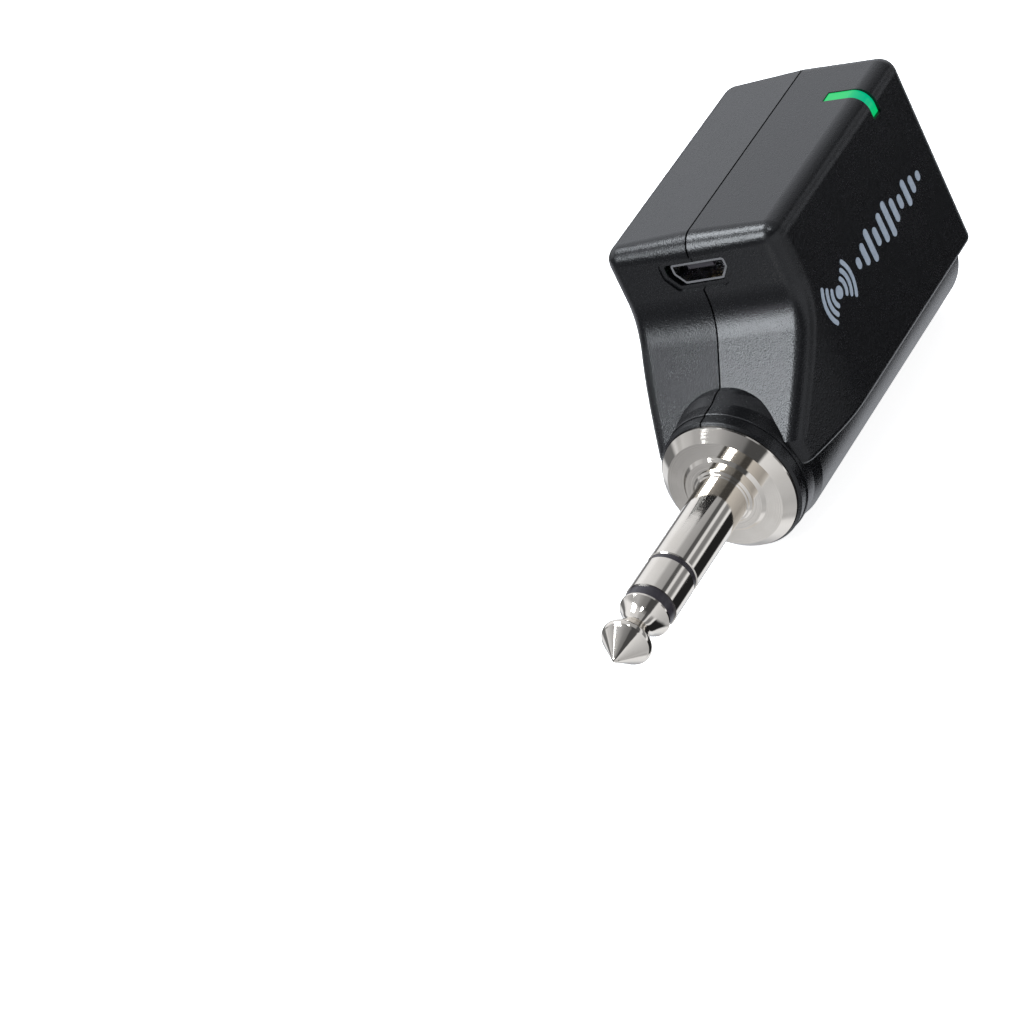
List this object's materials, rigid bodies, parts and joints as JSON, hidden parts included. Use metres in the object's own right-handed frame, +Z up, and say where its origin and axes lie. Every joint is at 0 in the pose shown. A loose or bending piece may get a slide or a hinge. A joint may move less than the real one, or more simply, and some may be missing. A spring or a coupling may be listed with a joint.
{
  "type": "wireless guitar transmitter",
  "caption": "Small two-shell instrument radio transmitter with a fixed three-pole 6.35 mm plug, a polished collar, a charging port and a corner light.",
  "frame": {"origin": "on the plug's axis, in the flat face of the metal collar that meets the instrument's jack", "axes": "X runs along the plug, whose tip points to -X; Z is up, towards the narrow face with the light; the wide faces look along +Y and -Y, and the marked one is -Y"},
  "size_m": [0.0843, 0.025, 0.0363],
  "materials": {
    "black_plastic": "fine satin texture",
    "nickel": "polished nickel plate",
    "insulator": "smooth",
    "screw_steel": "black zinc",
    "light_green": "clear, lit green",
    "mark_ink": "pad printed",
    "tinned_brass": "tinned",
    "wire_black": "smooth",
    "wire_white": "smooth",
    "wire_red": "smooth",
    "board_green": "solder mask",
    "port_steel": "bright plated",
    "gold_contact": "gold flash",
    "tinned_steel": "tin plate",
    "chip_black": "moulded",
    "ceramic_white": "fired ceramic",
    "led_die": "clear resin",
    "ceramic_tan": "fired ceramic",
    "pouch_foil": "laminated foil",
    "foam_grey": "open-cell foam",
    "socket_white": "nylon"
  },
  "bodies": {
    "root": {"right_shell": "black_plastic", "left_shell": "black_plastic", "housing_screws": "screw_steel", "light_pipe": "light_green", "printed_mark": "mark_ink", "plug_tip": "nickel", "tip_insulator": "insulator", "plug_ring": "nickel", "ring_insulator": "insulator", "plug_sleeve": "nickel", "collar_nut": "nickel", "ground_tag": "tinned_brass", "lock_washer": "screw_steel", "lock_nut": "nickel", "ring_tag": "tinned_brass", "tip_tag": "tinned_brass", "ground_wire": "wire_black", "ring_wire": "wire_white", "tip_wire": "wire_red", "main_board": "board_green", "port_shell": "port_steel", "port_tongue": "insulator", "port_contacts": "gold_contact", "radio_board": "board_green", "shield_can": "tinned_steel", "radio_chip": "chip_black", "chip_antenna": "ceramic_white", "status_led": "led_die", "charger_chip": "chip_black", "converter_chip": "chip_black", "power_coil": "chip_black", "timing_crystal": "tinned_steel", "small_capacitors": "ceramic_tan", "battery_cell": "pouch_foil", "protection_board": "board_green", "battery_foam": "foam_grey", "battery_socket": "socket_white", "battery_plus_wire": "wire_red", "battery_minus_wire": "wire_black"}
  },
  "joints": []
}
